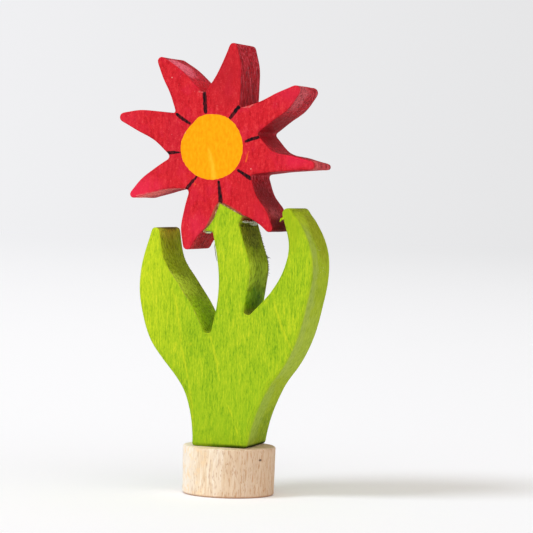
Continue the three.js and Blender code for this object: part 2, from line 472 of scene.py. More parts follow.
# Yellow streaks along the grain of the foliage's face, and a spot: x, z and half the width
YELLOW_STREAKS = (
    ((-12.2, 43.8, 0.1), (-11.0, 40.2, 0.16), (-10.1, 35.5, 0.16), (-9.8, 32.1, 0.18), (-8.2, 25.9, 0.16)),
    ((-8.2, 25.9, 0.16), (-7.5, 22.7, 0.16), (-6.6, 16.5, 0.1)),
    ((-3.1, 33.9, 0.1), (-1.5, 28.2, 0.15), (-0.9, 24.8, 0.08)),
    ((1.2, 19.4, 0.04), (2.2, 17.2, 0.1)),
    ((3.0, 14.8, 0.06), (3.5, 13.6, 0.08)),
    ((10.8, 41.9, 0.12), (12.2, 37.8, 0.2), (13.8, 34.2, 0.16), (15.0, 31.9, 0.1)),
    ((-7.65, 32.5, 0.14), (-7.6, 32.1, 0.16)),
)

# Patches on the foliage's face and on its unevenly sawn and sanded walls, stain on the face and stain with
# painted
# light on the walls: middle, radii, colour and strength
GREEN_FACE_PATCHES = (((14.0, 0, 59.5), (3.4, 99, 5.5), (150, 174, 26), 0.6),)
# Mostly painted sheen: pale grey-green patches where light glances off the leaves' outer walls, with some
# stain tints
OUTER_WALL_STAIN_AND_SHEEN = (
    ((14.5, -3.5, 42), (6, 3.4, 22), (160, 178, 82), 0.75),
    ((14.8, 1.5, 32), (4.5, 9, 9), (168, 188, 66), 0.6),
    ((7.5, -3, 17), (4.5, 4, 10), (156, 180, 70), 0.7),
    ((17.0, 4.5, 56.5), (4.5, 5, 5.5), (142, 150, 18), 0.75),
    ((13.8, -3, 59.6), (3.0, 4, 3.4), (172, 194, 26), 0.9),
    ((14.0, 1, 62.0), (3, 9, 0.75), (86, 62, 16), 0.95),
    ((7.0, 6, 14), (3, 6, 4.5), (118, 146, 14), 0.6),
)
# Stain tints with painted light and shade in the saw cuts beside the stem: pale patches where light reaches
# in, dark ones near their tops
INNER_WALL_STAIN_LIGHT_AND_SHADE = (
    ((-15.2, 1, 55.6), (3, 10, 1.5), (216, 228, 58), 0.8),
    ((-14.3, 1, 51.6), (3, 10, 3.2), (176, 204, 22), 0.8),
    ((-16.2, 2, 56.95), (2.5, 7, 0.45), (70, 62, 16), 0.85),
    ((-10.2, -1.5, 44.6), (3, 7, 3.0), (218, 246, 66), 0.85),
    ((-7.0, 0, 38.8), (4, 9, 3.6), (180, 222, 12), 0.9),
    ((3.6, 1, 55.4), (3, 10, 2.6), (120, 130, 12), 0.85),
    ((4.8, 1, 47.8), (3, 9, 3.4), (216, 240, 68), 0.8),
    ((4.6, 1, 42.0), (3, 9, 2.6), (130, 186, 8), 0.8),
    ((4.6, -2, 39.2), (2, 6, 0.9), (134, 120, 52), 0.6),
    ((3.0, 1, 57.9), (3, 12, 0.35), (76, 76, 30), 0.8),
    ((2.8, -1.4, 59.45), (1.6, 4.2, 0.7), (206, 108, 84), 0.95),
)


def green_stain():
    """Yellow-green stain on upright grain, yellower to the left, and duller on the sawn walls."""
    s = Shader("green_stain")
    fibres = s.noise(s.stretch(3.4, 3.4, 0.42), detail=3, rough=0.62)
    fine = s.noise(s.stretch(5.4, 5.4, 1.5), detail=2, rough=0.6)
    cloud = s.noise(s.stretch(0.26, 0.26, 0.14), detail=3)
    tone = s.blend((fibres, 0.45), (fine, 0.35), (cloud, 0.2))
    green = s.ramp(
        tone,
        (0.37, (112, 154, 26)),
        (0.44, (142, 180, 30)),
        (0.50, (160, 192, 33)),
        (0.56, (175, 200, 36)),
        (0.65, (202, 212, 42)),
    )
    yellow = s.ramp(
        tone,
        (0.37, (150, 182, 30)),
        (0.44, (174, 200, 33)),
        (0.50, (190, 211, 36)),
        (0.56, (202, 218, 40)),
        (0.65, (222, 226, 50)),
    )
    lean = s.blend((s.x, 1.0), (s.z, -0.2), (cloud, 14))
    left = s.step(lean, -7, -24)
    right = s.all_of(s.step(s.x, 9, 15), s.step(s.z, 30, 44, 0, 0.15))
    stem = s.all_of(s.patch((-0.4, 0, 53.5), (2.9, 99, 9.0), 0.9), 0.26)
    front = s.mix(s.math("MAXIMUM", s.math("MAXIMUM", left, right), stem), green, yellow)
    front = s.patched(front, GREEN_FACE_PATCHES, 0.8)
    frayed = s.specks(s.stretch(3.2, 3.2, 1.6), 0.2, 0.4)
    frayed = s.all_of(frayed, s.patch((-1.5, 0, 47), (1.6, 99, 8)), 0.6)
    front = s.mix(frayed, front, (232, 206, 120))
    low = s.all_of(s.step(s.z, 32, 16), s.step(cloud, 0.4, 0.6, 0.1, 0.45))
    front = s.mix(low, front, (140, 182, 30))
    dashes = s.noise(s.stretch(4.4, 4.4, 0.8, shift=(3, 0, 7)), detail=1)
    front = s.mix(s.step(dashes, 0.6, 0.74, 0, 0.22), front, (108, 146, 24))
    streaks = s.drawn(YELLOW_STREAKS, soft=0.3, ragged=0.9)
    front = s.mix(s.all_of(streaks, 0.5), front, (214, 218, 40))
    wall_tone = s.noise(s.stretch(2.2, 1.5, 0.55, shift=(0, 5, 0)), detail=4, rough=0.66)
    outer = s.patched((160, 180, 34), OUTER_WALL_STAIN_AND_SHEEN)
    inner = s.patched((164, 190, 12), INNER_WALL_STAIN_LIGHT_AND_SHADE)
    share = s.add("ShaderNodeAttribute", {"attribute_name": "inner"}).outputs["Fac"]
    outer = s.grained(outer, wall_tone, (220, 228, 190), (200, 212, 70), 0.4)
    inner = s.grained(inner, wall_tone, (172, 180, 80), (196, 216, 66), 0.6)
    inner = s.sawn(inner, (56, 78, 4), (214, 232, 76), 0.5)
    chips = s.specks(s.stretch(1.8, 1.6, 1.8), 0.16, 0.4)
    chips = s.all_of(chips, s.patch((18.9, 0.5, 50.5), (3, 4, 5)), 0.7)
    outer = s.mix(chips, outer, (236, 238, 200))
    wall = s.mix(share, outer, inner)
    soft, crisp = s.wall(0.9), s.wall(0.28)
    on_wall = s.math("MULTIPLY_ADD", share, s.math("SUBTRACT", crisp, soft), soft)
    color = s.mix(on_wall, front, wall)
    worn = s.step(s.noise(s.stretch(0.9, 0.9, 0.6, shift=(8, 2, 5)), detail=3), 0.4, 0.56)
    on_leaf = s.all_of(s.step(s.x, -4, -7), s.step(s.z, 52, 49))
    brown = s.all_of(s.rim(BOARD_FRONT + 0.2, 0.19), share, worn, on_leaf)
    color = s.mix(s.all_of(brown, 0.8), color, (158, 136, 80))
    color = s.mix(s.all_of(s.rim(BOARD_BACK - 0.2, 0.9), on_wall, worn, 0.75), color, (128, 106, 34))
    # Painted contact shadow: the foot's wall and front darkened just above the disc, most on its right
    foot_contact_shadow = s.all_of(s.step(s.z, DISC_TOP + 0.9, DISC_TOP + 0.3), s.step(s.x, -7, 3, 0.4, 1))
    color = s.mix(s.all_of(foot_contact_shadow, 0.9), color, (22, 38, 4))
    color = s.mix(s.all_of(s.drawn(SEAM, soft=0.12), 0.7), color, (140, 112, 40))
    height = s.blend((fibres, 1.0), (fine, 0.7), (wall_tone, 0.8))
    rough = s.step(fine, 0.3, 0.7, 0.55, 0.7)
    return s.finish(color, rough, height, depth=0.045, Specular_IOR_Level=GLOSS)


# The painted centre: its middle, and its radius at equal angles from the right, anticlockwise
CENTRE = (-4.1, 74.45)
CENTRE_RADII = (6.95, 6.95, 7.05, 7.1, 7.0, 7.05, 6.6, 6.75, 6.95, 7.05, 7.0, 6.95, 7.0, 6.95, 7.05, 7.0)

# The black strokes between the petals: x, z and half the width at points along each, on the front face
STROKES = (
    ((-6.05, 85.9, 0.40), (-5.9, 83.9, 0.46), (-5.7, 81.9, 0.40)),
    ((1.7, 83.1, 0.40), (0.8, 82.0, 0.42), (-0.1, 80.8, 0.36)),
    ((6.4, 76.8, 0.36), (4.9, 76.4, 0.38), (3.5, 75.8, 0.28)),
    ((4.7, 68.0, 0.44), (3.4, 68.8, 0.36), (2.0, 69.6, 0.30)),
    ((-1.75, 62.9, 0.48), (-2.0, 64.9, 0.42), (-2.3, 67.0, 0.30)),
    ((-9.4, 65.5, 0.38), (-8.3, 66.9, 0.34), (-7.2, 68.1, 0.20)),
    ((-13.8, 73.0, 0.38), (-12.6, 73.1, 0.32), (-11.2, 73.1, 0.16)),
    ((-12.1, 81.2, 0.34), (-10.7, 80.2, 0.36), (-9.2, 79.4, 0.26)),
)

# Worn wood that shows pale in two valleys and along the lower left petal's rim: x, z and half the width
WORN_RIMS = (
    ((-7.3, 86.2, 0.10), (-5.8, 85.95, 0.16)),
    ((1.8, 83.4, 0.08), (2.7, 83.05, 0.14), (4.0, 83.15, 0.12), (4.9, 83.7, 0.06)),
    (
        (-20.8, 63.6, 0.06),
        (-18.7, 64.05, 0.12),
        (-16.6, 64.5, 0.14),
        (-15.2, 64.85, 0.14),
        (-12.3, 65.35, 0.08),
    ),
)

# A lighter streak on the centre, and two orange scratches and three pale specks on the red face
LIGHTER_STREAK = (((-4.7, 73.8, 0.2), (-3.9, 70.8, 0.4), (-3.4, 68.0, 0.5)),)
ORANGE_SCRATCHES = (((4.1, 73.6, 0.10), (3.65, 71.6, 0.16)), ((-7.65, 66.6, 0.1), (-7.55, 66.3, 0.1)))
PALE_SPECKS = ((-13.5, 89.1), (4.8, 70.0), (-9.3, 65.8))

# Patches on the blossom's face and on its walls, the deep ones over the saw marks: middle, radii, colour and
# strength. On the walls they are mostly painted sheen, light and shade
FACE_PATCHES = (
    ((14.6, 0, 85.7), (3.8, 99, 2.5), (218, 42, 68), 0.6),
    ((15.4, 0, 72.2), (3.6, 99, 1.5), (228, 40, 74), 0.65),
    ((-20.6, 0, 64.4), (4.6, 99, 2.8), (233, 47, 77), 0.8),
    ((-6.2, 0, 56.0), (2.6, 99, 3.6), (226, 46, 76), 0.5),
    ((-23.4, 0, 79.4), (2.6, 99, 2.4), (224, 44, 70), 0.4),
    ((-12.6, 0, 76.0), (2.2, 99, 6.0), (194, 36, 54), 0.4),
    ((-1.4, 0, 90.0), (3.6, 99, 6.0), (184, 35, 44), 0.7),
    ((6.0, 0, 64.0), (3.6, 99, 5.0), (200, 38, 48), 0.5),
)
# Painted sheen and light on the petals' walls: pale pink patches near the tips and brighter crimson ones, over
# the walls' stain
RED_WALL_STAIN_AND_SHEEN = (
    ((14.4, -2.5, 85.4), (3.4, 3.6, 3.4), (206, 92, 98), 0.8),
    ((-18.8, -3, 63.7), (4.6, 7, 1.8), (255, 116, 110), 0.9),
    ((-12.8, -3, 65.3), (3.6, 6, 1.5), (255, 124, 116), 0.9),
    ((18.9, 3, 71.0), (2.0, 7, 2.0), (198, 66, 68), 0.75),
    ((18.2, -3.6, 71.0), (1.4, 2.4, 1.6), (216, 96, 94), 0.7),
    ((-10.6, -1, 89.4), (4.0, 9, 3.0), (224, 28, 52), 0.75),
    ((-12.8, -1.5, 91.2), (3.2, 5, 2.6), (255, 116, 136), 0.9),
    ((-8.2, 2, 87.4), (2.2, 8, 1.8), (240, 6, 36), 0.75),
    ((8.7, 0.5, 60.8), (1.6, 3.5, 1.6), (204, 92, 98), 0.7),
    ((-6.8, 2, 54.6), (3.0, 9, 2.6), (250, 26, 40), 0.75),
)
# Painted shade: dark crimson in the valleys between the petals and under the right petal; the last one only
# deepens the stain
DEEP_RED_AND_SHADE_PATCHES = (
    ((8.4, 1, 79.3), (3.8, 9, 2.6), (138, 4, 16), 0.65),
    ((7.6, 1, 76.5), (3.4, 9, 1.6), (138, 4, 16), 0.65),
    ((7.0, 0, 64.4), (3.0, 9, 3.2), (112, 2, 8), 0.6),
    ((9.9, 0.5, 57.8), (2.2, 9, 1.8), (92, 8, 12), 0.6),
    ((-7.6, 3, 86.8), (2.0, 7, 1.8), (216, 0, 30), 0.5),
)


def red_stain():
    """Crimson stain, pinker at some petal tips, with the yellow centre and the black strokes."""
    s = Shader("red_stain")
    cx, cz = CENTRE
    fibres = s.noise(s.stretch(1.7, 1.7, 0.3), detail=3, rough=0.6)
    mottle = s.noise(s.stretch(1.9, 1.9, 1.3, shift=(4, 1, 0)), detail=4, rough=0.65)
    tone = s.blend((fibres, 0.45), (mottle, 0.55))
    front = s.ramp(
        tone,
        (0.37, (184, 26, 36)),
        (0.46, (203, 34, 44)),
        (0.54, (213, 41, 50)),
        (0.64, (224, 58, 62)),
    )
    fine = s.noise(s.stretch(4.6, 4.6, 3.2, shift=(1, 9, 4)), detail=2, rough=0.6)
    cloud = s.noise(s.stretch(0.34, 0.34, 0.28, shift=(2, 8, 1)), detail=3)
    front = s.mix(s.step(cloud, 0.5, 0.66, 0, 0.4), front, (212, 38, 64))
    front = s.patched(front, FACE_PATCHES, 0.8)
    front = s.mix(s.step(mottle, 0.62, 0.74, 0, 0.4), front, (230, 84, 84))
    front = s.mix(s.step(fine, 0.6, 0.74, 0, 0.35), front, (238, 98, 98))
    front = s.mix(s.step(fine, 0.4, 0.28, 0, 0.3), front, (158, 18, 30))
    dust = s.specks(s.stretch(1.2, 1.2, 1.2), 0.12, 0.3)
    front = s.mix(s.all_of(dust, 0.4), front, (240, 140, 140))
    wall_tone = s.noise(s.stretch(2.4, 1.4, 0.5, shift=(0, 3, 0)), detail=4, rough=0.68)
    wall = s.patched((180, 8, 26), RED_WALL_STAIN_AND_SHEEN)
    # The light colour here is a painted highlight on the ridges of the grain
    wall = s.grained(wall, wall_tone, (140, 110, 120), (216, 76, 92), 0.42)
    wall = s.sawn(wall, (92, 0, 12), (236, 112, 128), 0.4)
    wall = s.patched(wall, DEEP_RED_AND_SHADE_PATCHES)
    # Pale specks: dust, with painted glints on the open grain
    wall = s.mix(s.all_of(s.specks(s.stretch(1.6, 1.2, 1.6), 0.16, 0.35), 0.6), wall, (240, 150, 156))
    on_wall = s.wall(0.4)
    color = s.mix(on_wall, front, wall)
    color = s.mix(s.all_of(s.rim(BOARD_FRONT + 0.24, 0.2), 0.4), color, (166, 24, 34))
    color = s.mix(s.all_of(s.rim(BOARD_BACK - 0.2, 0.6), on_wall, 0.6), color, (112, 8, 22))
    by_front = s.step(s.y, BOARD_FRONT + 0.8, BOARD_FRONT + 0.5)
    color = s.mix(s.all_of(s.drawn(WORN_RIMS, soft=0.12, ragged=0.6), by_front, 0.5), color, (232, 132, 126))
    color = s.mix(s.all_of(s.drawn(SEAM, soft=0.12), 0.8), color, (152, 88, 58))
    on_face = s.step(s.y, BOARD_FRONT + 0.25, BOARD_FRONT + 0.12)
    scratch = s.drawn(ORANGE_SCRATCHES, soft=0.12, ragged=0.5)
    color = s.mix(s.all_of(scratch, on_face, 0.7), color, (240, 104, 40))
    for x, z in PALE_SPECKS:
        color = s.mix(s.all_of(s.near(x, z, 0.1, soft=0.1), on_face, 0.7), color, (240, 196, 184))
    strokes = s.all_of(s.drawn(STROKES), on_face)
    thin = s.step(s.noise(s.stretch(2.2, 2.2, 0.9, shift=(7, 0, 3)), detail=3), 0.42, 0.6, 1.0, 0.86)
    color = s.mix(s.all_of(strokes, thin), color, (20, 22, 26))
    spoke = s.vector("SUBTRACT", s.flat, (cx, 0, cz))
    centre = s.all_of(centre_mask(s, spoke, s.vector("LENGTH", spoke)), on_face)
    grain = s.noise(s.stretch(1.8, 1.8, 0.9, shift=(2, 2, 2)), detail=4, rough=0.62)
    yellow = s.ramp(
        grain,
        (0.36, (248, 155, 12)),
        (0.46, (251, 163, 13)),
        (0.54, (253, 168, 16)),
        (0.64, (254, 174, 22)),
    )
    streak = s.drawn(LIGHTER_STREAK, soft=0.4, ragged=0.6)
    yellow = s.mix(s.all_of(streak, 0.65), yellow, (255, 198, 48))
    yellow = s.mix(s.all_of(s.near(-10.3, 77.4, 0.22, soft=0.14), 0.7), yellow, (246, 196, 150))
    color = s.mix(centre, color, yellow)
    height = s.blend((fibres, 1.0), (mottle, 0.6), (wall_tone, 0.6))
    rough = s.math("ADD", s.step(mottle, 0.3, 0.7, 0.5, 0.66), s.math("MULTIPLY", strokes, -0.1))
    return s.finish(color, rough, height, depth=0.06, Specular_IOR_Level=GLOSS)


def centre_mask(s, spoke, away):
    """1 on the painted centre, whose edge is a little uneven."""
    parts = s.add("ShaderNodeSeparateXYZ", Vector=spoke)
    angle = s.math("ARCTAN2", parts.outputs[2], parts.outputs[0])
    share = s.math("FRACT", s.math("ADD", s.math("DIVIDE", angle, 2 * math.pi), 1))
    node = s.add("ShaderNodeFloatCurve", Value=share)
    curve = node.mapping.curves[0]
    radii = CENTRE_RADII + CENTRE_RADII[:1]
    low, high = 6.0, 8.0
    for i, radius in enumerate(radii):
        place = (i / (len(radii) - 1), (radius - low) / (high - low))
        if i < 2:
            curve.points[i].location = place
        else:
            curve.points.new(*place)
    node.mapping.update()
    radius = s.math("MULTIPLY_ADD", node.outputs[0], high - low, low)
    ragged = s.noise(s.stretch(1.4, 1.4, 1.4), detail=2)
    radius = s.math("ADD", radius, s.math("MULTIPLY", s.math("SUBTRACT", ragged, 0.5), 0.35))
    return s.step(s.math("SUBTRACT", away, radius), 0.05, -0.05)


def bare_beech(name, tint=(255, 255, 255)):
    """Bare beech with its grain upright, peach to the left, with short pinkish-brown flecks and painted light
    and shade.
    """
    s = Shader(name)
    rings = s.noise(s.stretch(0.35, 0.35, 0.05), detail=3, rough=0.5)
    fibres = s.noise(s.stretch(2.2, 2.2, 0.22), detail=3, rough=0.62)
    tone = s.blend((rings, 0.45), (fibres, 0.55))
    wood = s.ramp(
        tone,
        (0.36, (226, 194, 158)),
        (0.50, (238, 215, 184)),
        (0.64, (252, 239, 218)),
    )
    # Painted light and shade: the turned side is lighter cream to the left and darker to the right
    wood = s.mix(s.step(s.x, -3, -9, 0, 0.8), wood, (255, 246, 232))
    wood = s.mix(s.step(s.x, -4, 9, 0, 0.75), wood, (202, 170, 142))
    peach = s.noise(s.stretch(0.8, 0.8, 0.6, shift=(6, 1, 3)), detail=3)
    wood = s.mix(s.all_of(s.step(peach, 0.5, 0.64), s.step(s.x, 1, -6, 0, 0.6)), wood, (252, 218, 168))
    crowd = s.step(s.x, -9, 7, 0.06, -0.02)
    flecks = s.math("SUBTRACT", s.noise(s.stretch(3.2, 3.2, 0.4, shift=(1, 7, 2)), detail=2), crowd)
    short = s.math("SUBTRACT", s.noise(s.stretch(4.0, 4.0, 1.0, shift=(5, 2, 8)), detail=1), crowd)
    marks = s.math("MAXIMUM", s.step(flecks, 0.56, 0.68), s.step(short, 0.62, 0.72))
    wood = s.mix(s.all_of(marks, 0.55), wood, (188, 130, 86))
    # Painted shade along the disc's bottom rim
    wood = s.mix(s.step(s.z, 0.6, 0.05, 0, 0.75), wood, (176, 124, 92))
    speck = s.patch((8.6, -5.1, 8.1), (0.24, 0.6, 0.22), soft=0.3)
    wood = s.mix(s.all_of(speck, 0.85), wood, (84, 62, 54))
    on_top = s.step(s.z, DISC_TOP - 0.04, DISC_TOP)
    shade = s.all_of(s.rim(BOARD_FRONT - 0.1, 0.4), on_top, s.step(s.x, -8, 2, 0.3, 0.8))
    wood = s.mix(shade, wood, (150, 106, 70))
    smudge = s.patch((-2.4, -5.0, DISC_TOP), (0.6, 0.5, 0.3), soft=0.4)
    wood = s.mix(s.all_of(smudge, 0.6), wood, (186, 110, 84))
    wood = s.mix(1.0, wood, tint, blend="MULTIPLY")
    height = s.math("SUBTRACT", fibres, marks)
    return s.finish(wood, s.step(fibres, 0.3, 0.7, 0.6, 0.75), height, depth=0.05, Specular_IOR_Level=0.15)


def dried_glue(name, *stops):
    """Wood glue that took up some of the stain, in colours from its thin to its thick places."""
    s = Shader(name)
    lumps = s.noise(s.stretch(1.6, 1.6, 1.6), detail=3, rough=0.6)
    color = s.ramp(lumps, *stops)
    return s.finish(color, s.step(lumps, 0.3, 0.7, 0.6, 0.35), lumps, depth=0.1, Specular_IOR_Level=0.3)


def torn_wood(name, dark, light):
    """Wood torn up along its grain."""
    s = Shader(name)
    fibres = s.noise(s.stretch(5, 5, 1.5), detail=2)
    color = s.ramp(fibres, (0.35, dark), (0.65, light))
    return s.finish(color, 0.7, fibres, depth=0.04, Specular_IOR_Level=GLOSS)


# The pieces


def inside(outline):
    """1 on the saw cuts beside the stem, which are left rougher, and 0 on the outer sides."""
    x, z = outline.T
    left_side = (56 - z) / 8 - 16.4
    return ((z > 33) & (z < 62) & (x > left_side) & (x < LEAF_SIDE)).astype(float)


def sanded_round(outline):
    """The outline with the leaves' outer sides evened out, as sandpaper leaves them."""
    x, z = outline.T
    outer = (inside(outline) == 0) & (z > 27) & (z < 61) & ((x > 0) | (z < 51))
    share = blurred(outer.astype(float), 6)[:, None]
    even = np.stack([blurred(v, 12) for v in (x, z)], axis=1) + 0.09 * outward(outline)
    return outline + share * (even - outline)


outlines = {node: fine_outline(front_loop(node)) for node in ("foliage", "blossom")}
outlines["foliage"] = sanded_round(outlines["foliage"])


def glued(node, other):
    """True for each point of a board's outline that faces the other board across the glue."""
    return nearness(outlines[node], outlines[other]) < GROOVE


def rounded_board(node, other, sharp, soft):
    """A board whose rims are softest on its outer sides, and nearly sharp where it is glued to the other."""
    outline = outlines[node]
    held = glued(node, other)
    x, z = outline.T
    sanded = np.clip(np.sign(x) * outward(outline)[:, 0], 0, 1) * (1 - inside(outline))
    radii = sharp + sanded * (soft - sharp)
    radii *= np.array([1 + 0.2 * wander(px / 4, pz / 4, seed=3) for px, pz in outline])
    radii = np.where(z < DISC_TOP + 1.2, 0.3, radii)
    radii = np.where((x > 13) & (z > TIP_LOW) & (z < TIP_HIGH), 0.55, radii)
    seam = np.where(x < -2, 0.18, 0.09)
    radii = np.where(held, seam, radii)
    wobble = np.where(held | (z < DISC_TOP + 0.8), 0, 0.07)
    radii = np.where(held, seam, blurred(radii, 3))
    inner = blurred(inside(outline), 4)
    return board(node + "_board", outline, radii, blurred(wobble, 3), inner, thinned(outline))


def thinned(outline):
    """How far the wall leans in: only round the right petal's tip, which was sanded thin towards its back."""
    x, z = outline.T
    share = np.clip((x - 8) / 8, 0, 1) * ((z > TIP_LOW) & (z < TIP_HIGH))
    return blurred(share * np.where(outward(outline)[:, 1] > 0, 0.5, 0.15), 3)


# The glue film's cross-section: how far out from the tongue, the nearest face, and the way inwards from there
GLUE_SECTION = (
    (0.02, BOARD_FRONT, 1),
    (0.27, BOARD_FRONT, 1),
    (0.27, BOARD_BACK, -1),
    (0.02, BOARD_BACK, -1),
)


def glue_film():
    """The film of glue in the joint: a ribbon along the tongue, a little below the faces and uneven."""
    outline = outlines["foliage"]
    held = glued("foliage", "blossom")
    first = next(i for i in range(len(held)) if held[i] and not held[i - 1])
    held, outline = np.roll(held, -first), np.roll(outline, -first, axis=0)
    count = int(np.argmin(held)) if not held.all() else len(held)
    run, out = outline[:count], outward(outline)[:count]
    points = []
    for (x, z), (nx, nz) in zip(run, out):
        for offset, y, sink in GLUE_SECTION:
            depth = 0.12 + 0.08 * wander(x * 1.5, z * 1.5, offset * 9, seed=4)
            points.append((x + nx * offset, y + sink * depth, z + nz * offset))
    faces = [(0, 3, 2, 1)]
    for i in range(count - 1):
        a, b = 4 * i, 4 * (i + 1)
        for k in range(4):
            j = (k + 1) % 4
            faces.append((a + k, a + j, b + j, b + k))
    last = 4 * (count - 1)
    faces.append((last, last + 1, last + 2, last + 3))
    return new_piece("glue_film", points, faces, [False] * len(faces))


def threads(name, runs, sides=6):
    """One mesh of closed tapering threads. A run is a list of points with the radius at each."""
    points, faces = [], []
    for run in runs:
        places = [Vector(p) for p, _ in run]
        start = len(points)
        points.append(tuple(places[0]))
        for i, (p, radius) in enumerate(run):
            along = places[min(i + 1, len(run) - 1)] - places[max(i - 1, 0)]
            side = along.orthogonal().normalized() if i == 0 else (side - side.project(along)).normalized()
            other = along.cross(side).normalized()
            for k in range(sides):
                turn = 2 * math.pi * k / sides
                points.append(tuple(places[i] + (side * math.cos(turn) + other * math.sin(turn)) * radius))
        points.append(tuple(places[-1]))
        tip = len(points) - 1
        for k in range(sides):
            j = (k + 1) % sides
            faces.append((start, start + 1 + j, start + 1 + k))
            for i in range(len(run) - 1):
                a, b = start + 1 + i * sides, start + 1 + (i + 1) * sides
                faces.append((a + k, a + j, b + j, b + k))
            last = tip - sides
            faces.append((last + k, last + j, tip))
    return new_piece(name, points, faces)


def fuzz(x_range, z_range, y, out, count, length, seed):
    """Threads of torn fibre along the foliage's edge where it is within x_range and z_range, at a depth y.

    out is 1 where they stick out to the right and -1 to the left.
    """
    (left, right), (low, high) = x_range, z_range
    edge = [p for p in outlines["foliage"] if left < p[0] < right and low < p[1] < high]
    edge.sort(key=lambda p: p[1])
    runs = []
    for k in range(count):
        share = (k + 0.5 + 0.4 * wander(k * 1.7, seed=seed)) / count
        x, z = edge[int(share * len(edge))]
        reach = length * (0.75 + 0.6 * wander(k * 2.3, 4, seed=seed))
        drop = -0.5 - 0.5 * wander(k * 3.1, 8, seed=seed)
        tip = Vector((out, 0.1 * wander(k, 2, seed=seed), drop)) * reach
        root = Vector((x - 0.12 * out, y, z))
        middle = root + tip * 0.55 + Vector((0.04 * out, 0, 0.05))
        runs.append([(root, 0.09), (middle, 0.065), (root + tip, 0.02)])
    return runs


# Where fibres are torn, as fuzz() takes it: the stem's right side at the back, its left side at the front,
# and the leaves' ragged edges
FUZZ = (
    ((3.0, 5.4), (47.0, 57.8), BOARD_BACK - 0.35, 1, 22, 0.5, 1),
    ((-4.2, -2.2), (46.0, 54.5), BOARD_FRONT + 0.5, -1, 7, 0.24, 3),
    ((11.6, 13.9), (55.0, 61.4), BOARD_FRONT + 0.5, -1, 12, 0.3, 4),
    ((-15.4, -9.0), (46.0, 51.5), BOARD_BACK - 0.35, 1, 5, 0.28, 5),
)

# Single threads, as a place and a radius at each of their points: two long fibres, the right leaf's splinter,
# and the beads of glue at the joint's two lower ends
LONG_FIBRES = [
    [((4.7, 8.1, 51.0), 0.1), ((5.1, 8.2, 50.95), 0.09), ((5.55, 8.2, 50.8), 0.03)],
    [((-2.8, -5, 55), 0.05), ((-2.95, -5, 53.2), 0.08), ((-2.65, -5, 51.4), 0.08), ((-2.35, -5, 50.1), 0.04)],
]
SPLINTER = [
    [
        ((12.7, -4.9, 60.2), 0.26),
        ((12.2, -5.2, 59.75), 0.28),
        ((11.8, -5.3, 59.5), 0.24),
        ((11.5, -5.3, 59), 0.08),
    ],
]
BEADS = [
    [
        ((3.1, -4.6, 58.7), 0.12),
        ((3.05, -2.5, 58.75), 0.36),
        ((3.0, 1.0, 58.7), 0.28),
        ((2.95, 4.5, 58.65), 0.48),
        ((2.9, 7.6, 58.6), 0.25),
    ],
    [((2.7, 1.0, 58.3), 0.1), ((2.7, 3.2, 58.2), 0.36), ((2.7, 5.5, 58.1), 0.3), ((2.75, 7.2, 58.15), 0.1)],
    [
        ((-5.6, -4.9, 56.35), 0.08),
        ((-4.9, -4.7, 56.2), 0.24),
        ((-4.2, -4.5, 56.2), 0.2),
        ((-3.7, -4.4, 56.35), 0.08),
    ],
]


def drilled(piece, radius, low, high):
    """Cuts the dowel's blind bore into a piece, on the z axis."""
    bore = turned("bore", [(0, low), (radius, low), (radius, high), (0, high)], 48)
    cut = piece.modifiers.new("bore", "BOOLEAN")
    cut.operation, cut.solver, cut.object = "DIFFERENCE", "EXACT", bore
    whole = bpy.data.meshes.new_from_object(piece.evaluated_get(bpy.context.evaluated_depsgraph_get()))
    piece.modifiers.clear()
    piece.data = whole
    bpy.data.objects.remove(bore)


foliage = rounded_board("foliage", "blossom", 0.24, 0.8)
drilled(foliage, BORE_RADIUS, DISC_TOP - 0.4, BORE_TOP)
blossom = rounded_board("blossom", "foliage", 0.26, 0.3)
disc = turned("turned_disc", disc_profile(), 144, 0.02)
film = glue_film()
fibres = threads("torn_fibres", [run for row in FUZZ for run in fuzz(*row)] + LONG_FIBRES)
splinter = threads("splinter", SPLINTER)
beads = threads("glue_beads", BEADS, 10)

film_colors = ((0.36, (112, 60, 40)), (0.48, (150, 92, 54)), (0.6, (176, 130, 84)), (0.7, (210, 196, 166)))
bead_colors = ((0.36, (128, 140, 84)), (0.48, (190, 204, 160)), (0.6, (240, 244, 232)))
for piece, node, slot, material in (
    (foliage, "foliage", "green_stained_wood", green_stain()),
    (blossom, "blossom", "red_stained_wood", red_stain()),
    (disc, "base_disc", "natural_wood", bare_beech("bare_beech")),
    (film, None, "green_stained_wood", dried_glue("glue_film", *film_colors)),
    (beads, None, "green_stained_wood", dried_glue("glue_beads", *bead_colors)),
    (fibres, None, "green_stained_wood", torn_wood("torn_fibres", (78, 84, 30), (130, 140, 56))),
    (splinter, None, "green_stained_wood", torn_wood("splinter", (150, 180, 10), (206, 224, 30))),
):
    if node:
        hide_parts(node)
    piece.data.materials.append(material)
    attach(piece, "root")

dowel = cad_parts["dowel"]
dowel.data.materials.clear()
dowel.data.materials.append(bare_beech("dowel_beech", (246, 232, 210)))

# The studio

# The colours of the surround and of the lamp, as linear light
SURROUND_COLOR = (1.0, 0.965, 0.925, 1)
LAMP_COLOR = (0.83, 0.89, 1.0)

# The camera: its heading round the flower, its rise above it, its roll, its directions and its place
YAW, RISE, ROLL = math.radians(17.059), math.radians(1.794), math.radians(1.658)
RIGHT = Vector((math.cos(YAW), math.sin(YAW), 0))
AHEAD = Vector((-math.sin(YAW) * math.cos(RISE), math.cos(YAW) * math.cos(RISE), -math.sin(RISE)))
EYE = RIGHT * 6.897 + Vector((0, 0, 49.155)) - AHEAD * 569.19


